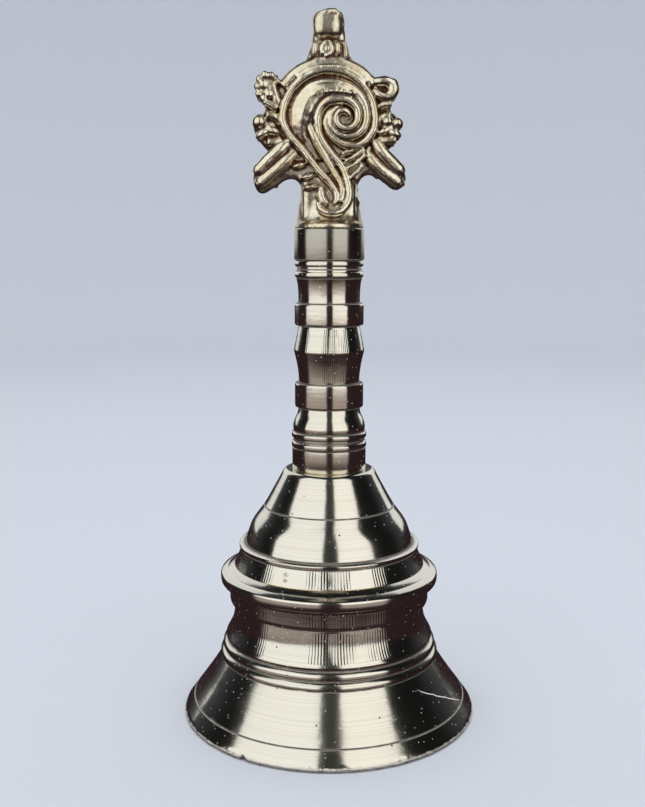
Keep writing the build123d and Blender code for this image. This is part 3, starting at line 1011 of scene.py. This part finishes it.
def pellet(x, y, z, half_x, half_y, half_z, tilt=0):
    """A ball pressed to half sizes, leaning by tilt degrees in the crest's plane."""
    deselect()
    bpy.ops.mesh.primitive_uv_sphere_add(segments=28, ring_count=16, radius=MM)
    ball = bpy.context.object
    bpy.ops.object.mode_set(mode="EDIT")
    bpy.ops.transform.resize(value=(half_x, half_y, half_z))
    bpy.ops.transform.rotate(value=radians(tilt), orient_axis="Y", center_override=(0, 0, 0))
    bpy.ops.transform.translate(value=(x * MM, y * MM, z * MM))
    bpy.ops.object.mode_set(mode="OBJECT")
    return ball


def joined(name, pieces):
    deselect()
    for piece in pieces:
        piece.select_set(True)
    bpy.context.view_layer.objects.active = pieces[0]
    bpy.ops.object.join()
    piece = bpy.context.object
    piece.name = piece.data.name = name
    return piece


# the crest's outline, up the left side and down the right
left_edge = [
    (-7.2, 137.0), (-7.0, 140.2), (-8.2, 143.0), (-10.4, 143.6), (-14.4, 141.4),
    (-17.8, 140.0), (-19.0, 141.2), (-19.2, 145.6), (-16.6, 147.5), (-15.2, 149.6), (-17.0, 151.9),
    (-18.8, 154.4), (-19.3, 157.8), (-17.2, 159.3), (-16.4, 161.4), (-17.9, 163.4), (-18.6, 166.0),
    (-17.0, 169.3), (-14.2, 169.2), (-11.7, 166.6), (-9.6, 169.4), (-6.6, 172.4), (-4.6, 176.6),
    (-3.9, 181.0), (-3.2, 183.6),
]
right_edge = [
    (2.9, 184.2), (3.8, 180.8), (4.6, 176.0), (5.9, 172.9), (9.4, 169.6), (12.0, 168.0), (16.0, 168.2),
    (17.3, 165.6), (16.0, 162.6), (15.6, 160.9), (17.6, 158.6), (18.2, 155.6), (16.4, 152.2),
    (15.2, 150.4), (16.6, 148.2), (19.0, 146.2), (19.3, 142.0), (17.2, 141.0), (12.8, 143.8),
    (9.6, 144.6), (7.6, 142.6), (7.1, 140.2), (7.4, 137.0),
]
clay = [lay_rolls("clay_rolls")]
# middle flames: across, depth, up, three half sizes and tilt of each leaf or pellet
for leaf in (
    (-17.7, -3.3, 157.6, 2.0, 2.1, 1.95, 0), (-17.0, -3.4, 154.7, 2.1, 1.6, 1.15, 35),
    (-14.4, -3.5, 155.4, 2.1, 1.5, 1.15, -25), (17.4, -3.3, 157.2, 1.45, 1.8, 1.5, 0),
    (14.9, -3.5, 157.6, 1.5, 1.7, 1.2, 20), (16.6, -3.4, 154.7, 1.9, 1.6, 1.2, -20),
    (13.9, -3.5, 155.2, 1.7, 1.5, 1.0, 30),
):
    clay.append(pellet(*leaf))
# three folds where the left arm meets the neck
for fold in (
    (-7.7, -3.7, 146.7, 1.9, 1.7, 0.75, 14), (-5.5, -4.3, 143.9, 1.9, 1.6, 0.75, 14),
    (-4.9, -4.5, 141.3, 1.8, 1.5, 0.7, 10),
):
    clay.append(pellet(*fold))
clay.append(pellet(-0.6, -4.1, 175.4, 0.95, 0.75, 1.4))
# the upper left flame has run together into a rough knob
clay.append(pellet(-15.7, -2.4, 166.1, 3.0, 2.4, 3.3, 15))
for x, z, size in (
    (-17.6, 168.0, 1.0), (-16.2, 169.0, 1.0), (-14.5, 168.9, 0.9), (-13.2, 167.7, 0.8), (-18.2, 166.3, 0.9),
    (-17.8, 164.4, 1.0), (-16.6, 166.6, 1.2), (-15.2, 164.3, 1.0), (-13.6, 165.6, 0.7), (-16.5, 163.2, 0.8),
):
    clay.append(pellet(x, -4.1 + 0.25 * abs(x + 15.7), z, size, size, 1.15 * size, 30))
clay.append(pellet(16.3, -2.6, 167.4, 1.3, 1.9, 1.0, -35))
clay.append(pellet(-5.0, -4.1, 158.3, 0.7, 0.8, 1.1))
for bead in range(8):
    clay.append(pellet(-3.4 + 1.25 * bead, -5.3, 164.4 + 0.5 * sin(0.42 * bead), 0.55, 0.7, 0.45))
for bead in range(5):
    clay.append(pellet(-1.8 + 0.9 * bead, -4.7, 171.1, 0.4, 0.5, 0.35))
# lumps that fill the curls
for x, z, half_x, half_z, tilt in (
    (-15.3, 166.0, 3.1, 3.5, 20), (-15.4, 156.0, 3.4, 3.2, 0), (-13.9, 161.6, 1.9, 1.6, 0),
    (15.0, 156.2, 3.3, 3.0, 0), (14.0, 161.8, 1.8, 1.5, 0),
):
    clay.append(pellet(x, 0, z, half_x, 4.6, half_z, tilt))
# flash: rough nibs that the mould's joint left along the outline
NIB_CENTRE = 158
random.seed(21)
for x, z in left_edge + right_edge:
    for nib in range(3):
        size = random.uniform(0.4, 0.8)
        inward = random.uniform(0.925, 0.975)
        shift = random.uniform(-0.5, 0.5)
        depth = -random.uniform(0.2, 2.6)
        up = NIB_CENTRE + (z - NIB_CENTRE) * inward + shift
        clay.append(pellet(x * inward, depth, up, size, size * 1.2, size, random.uniform(0, 90)))
front = joined("clay_front", clay)
modify(front, "MIRROR", use_axis=(False, True, False), use_mirror_merge=False)

# %% [markdown]
# ### Board, neck and bud
# These go right through the crest, so they are made once, not once for each face.

# %% Board


def board(name, corners, half_depth, edge):
    """A plate in the given outline, made as a filled flat curve with a rounded edge."""
    deselect()
    bpy.ops.curve.primitive_bezier_circle_add(location=(0, 0, 0))
    piece = bpy.context.object
    piece.name = name
    flat = piece.data
    flat.splines.clear()
    flat.dimensions = "2D"
    flat.fill_mode = "BOTH"
    flat.extrude = (half_depth - edge) * MM
    flat.bevel_depth = edge * MM
    flat.bevel_resolution = 2
    flat.offset = -edge * MM
    flat.resolution_u = 6
    spline = flat.splines.new("BEZIER")
    spline.bezier_points.add(len(corners) - 1)
    spline.use_cyclic_u = True
    for knot, (x, z) in zip(spline.bezier_points, corners):
        knot.co = (x * MM, z * MM, 0)
        knot.handle_left_type = knot.handle_right_type = "AUTO"
    bpy.ops.object.convert(target="MESH")
    bpy.ops.object.mode_set(mode="EDIT")
    bpy.ops.mesh.select_all(action="SELECT")
    bpy.ops.mesh.remove_doubles(threshold=MICRON)
    bpy.ops.object.mode_set(mode="OBJECT")
    piece.rotation_euler = (radians(90), 0, 0)
    bpy.ops.object.transform_apply(location=False, rotation=True, scale=False)
    return bpy.context.object


plate = board("plate", left_edge + right_edge, PLATE_HALF, 1.3)

# %% Neck and bud


def rounded_block(x, z_low, z_high, half_x, half_y, rounding):
    deselect()
    bpy.ops.mesh.primitive_cube_add(size=2 * MM)
    block = bpy.context.object
    bpy.ops.object.mode_set(mode="EDIT")
    bpy.ops.transform.resize(value=(half_x, half_y, (z_high - z_low) / 2))
    bpy.ops.transform.translate(value=(x * MM, 0, (z_low + z_high) / 2 * MM))
    bpy.ops.mesh.bevel(offset=rounding * MM, segments=4)
    bpy.ops.object.mode_set(mode="OBJECT")
    return block


def drawn_up(name, rings):
    """A neck made of level rings: (height, half width, half depth) of each, from the bottom up."""
    deselect()
    height, half_x, half_y = rings[0]
    bpy.ops.mesh.primitive_circle_add(vertices=72, radius=MM, fill_type="NGON", location=(0, 0, 0))
    piece = bpy.context.object
    piece.name = name
    bpy.ops.object.mode_set(mode="EDIT")
    bpy.ops.transform.resize(value=(half_x, half_y, 1))
    bpy.ops.transform.translate(value=(0, 0, height * MM))
    for next_height, next_x, next_y in rings[1:]:
        bpy.ops.mesh.extrude_region_move(
            TRANSFORM_OT_translate={"value": (0, 0, (next_height - height) * MM)}
        )
        bpy.ops.transform.resize(value=(next_x / half_x, next_y / half_y, 1))
        height, half_x, half_y = next_height, next_x, next_y
    bpy.ops.mesh.select_all(action="SELECT")
    bpy.ops.mesh.normals_make_consistent(inside=False)
    bpy.ops.object.mode_set(mode="OBJECT")
    return piece


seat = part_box("finial")[0][2] / MM
solid = [
    plate,
    rounded_block(-0.1, seat + 0.6, 144.5, 7.0, 4.6, 1.6),
    drawn_up("neck", (
        (seat, 8.95, 8.9), (seat + 1.1, 8.9, 8.75), (seat + 1.9, 8.6, 7.2), (seat + 3.2, 8.35, 6.1),
        (seat + 5.0, 8.1, 5.7), (seat + 7.5, 7.7, 5.2), (seat + 11.5, 7.2, 4.8), (seat + 13.5, 6.9, 4.4),
    )),
    rounded_block(-0.1, 148.0, 168.8, 10.8, 3.9, 0.8),
    rounded_block(-0.1, 170.5, 177.6, 4.3, 4.1, 1.4),
    rounded_block(-0.4, 177.7, 184.9, 3.95, 4.7, 2.5),
    pellet(0.7, 0, 183.0, 3.0, 3.4, 2.2, 10),
]
body = joined("clay_body", solid)

# %% [markdown]
# ### Melting
# The voxel remesh keeps only what a grid of small cubes sees from outside, so rolls and pellets that cut
# into each other become one skin. A finer grid shows more, but it soon makes too many faces.

# %% Melting
VOXEL = 0.28 * MM

crest = joined("crest_casting", [front, body])
modify(crest, "REMESH", mode="VOXEL", voxel_size=VOXEL)
modify(crest, "SMOOTH", factor=0.5, iterations=4)
print("crest:", len(crest.data.polygons), "faces after melting")

# %% [markdown]
# ### As-cast skin
# Sand leaves a grain on the metal. Two layers of soft noise push the skin in and out by less than a tenth
# of a millimetre: a coarse one that makes edges a little unsure, and a fine one for the grain.

# %% As-cast skin
for name, size, strength in (("coarse_grain", 2.4, 0.16), ("fine_grain", 0.7, 0.05)):
    modify(
        crest, "DISPLACE", texture=grain_texture(name, size), texture_coords="LOCAL",
        strength=strength * MM, mid_level=0.5,
    )
on_top(crest)
bpy.ops.object.shade_smooth()
size_check(crest, "finial")
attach(crest, "bell")
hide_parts("finial")
crest.data.materials.clear()
crest.data.materials.append(crest_brass)

# %% [markdown]
# ## Inside the cup
# The hanger, its washer and nut, the link and the clapper keep the shapes of the imported model, because
# their motion was checked with them. They only get finishes: dull zinc on the bent wire, the nut and the
# rod, and cast or turned brass on the rest. Knocks have polished a belt round the clapper's ball.

# %% Zinc wire
DARK_ZINC = rgb(0.46, 0.47, 0.48)
LIGHT_ZINC = rgb(0.60, 0.60, 0.58)
RUST = rgb(0.20, 0.10, 0.05)


def zinc():
    finish = Finish("dull_zinc", Metallic=1.0)
    place = finish.place()
    spangle = finish.noise(place, 480, detail=3, roughness=0.6)
    spots = finish.noise(place, 900, detail=4, roughness=0.7)
    stretched = finish.node("ShaderNodeMapping", inputs={"Vector": place, "Scale": (1, 1, 0.08)})
    drawn = finish.noise(stretched, 4200)
    rust = spots.rise(0.60, 0.72)
    colour = finish.mix(spangle.rise(0.35, 0.7), DARK_ZINC, LIGHT_ZINC)
    colour = finish.mix(rust * 0.8, colour, RUST)
    relief = drawn * 5 + spots * 6 + rust * 10
    finish.set(
        Base_Color=colour,
        Roughness=0.30 + spangle * 0.12 + rust * 0.3,
        Metallic=1.0 - rust * 0.5,
        Normal=finish.bump(relief),
    )
    return finish.material


# %% Clapper and fastener brass
YELLOW_BRASS = rgb(0.62, 0.50, 0.30)
BROWNED_BRASS = rgb(0.42, 0.29, 0.15)


def plain_brass(name, belt=None):
    """Turned brass that was never buffed. Belt is the height, in millimetres, that knocks polished."""
    finish = Finish(name, Metallic=1.0)
    place = finish.place()
    x, y, z = finish.axes(place)
    up = z * 1000
    radius = (x * x + y * y) ** 0.5
    lines = finish.noise(finish.vector(radius, 0.0, z), 2400, detail=3, roughness=0.7)
    blotch = finish.noise(place, 220, detail=4, roughness=0.6)
    dents = add_specks(finish, place, 0.0028, 0.0005, 0.5, 0.17)
    bright = up.rise(belt - 3.2, belt - 1.4) * up.rise(belt + 3.2, belt + 1.4) if belt else blotch * 0.2
    colour = finish.mix(blotch.rise(0.3, 0.7), YELLOW_BRASS, BROWNED_BRASS)
    colour = finish.mix(bright * 0.8, colour, GOLDEN_BRASS)
    relief = lines * 5 + blotch * 6 - dents * 22
    finish.set(
        Base_Color=colour,
        Roughness=0.34 - bright * 0.16 + blotch * 0.12,
        Normal=finish.bump(relief),
    )
    return finish.material


wire_finish = zinc()
ball_low, ball_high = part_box("clapper_ball")
ball_middle = (ball_low[2] + ball_high[2]) / 2 / MM
clapper_finish = plain_brass("clapper_brass", belt=ball_middle)
fastener_finish = plain_brass("fastener_brass")
inside = {
    "hanger_eye_bolt": wire_finish,
    "crown_nut": wire_finish,
    "hanger_link": wire_finish,
    "clapper_rod": wire_finish,
    "crown_washer": fastener_finish,
    "clapper_ball": clapper_finish,
    "clapper_burr": fastener_finish,
    "bell_cup": cup_brass,
    "handle_grip": grip_brass,
    "finial": crest_brass,
}
for name, material in inside.items():
    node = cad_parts[name]
    node.data.materials.clear()
    node.data.materials.append(material)
print("finished nodes:", len(inside), "of", len(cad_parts))
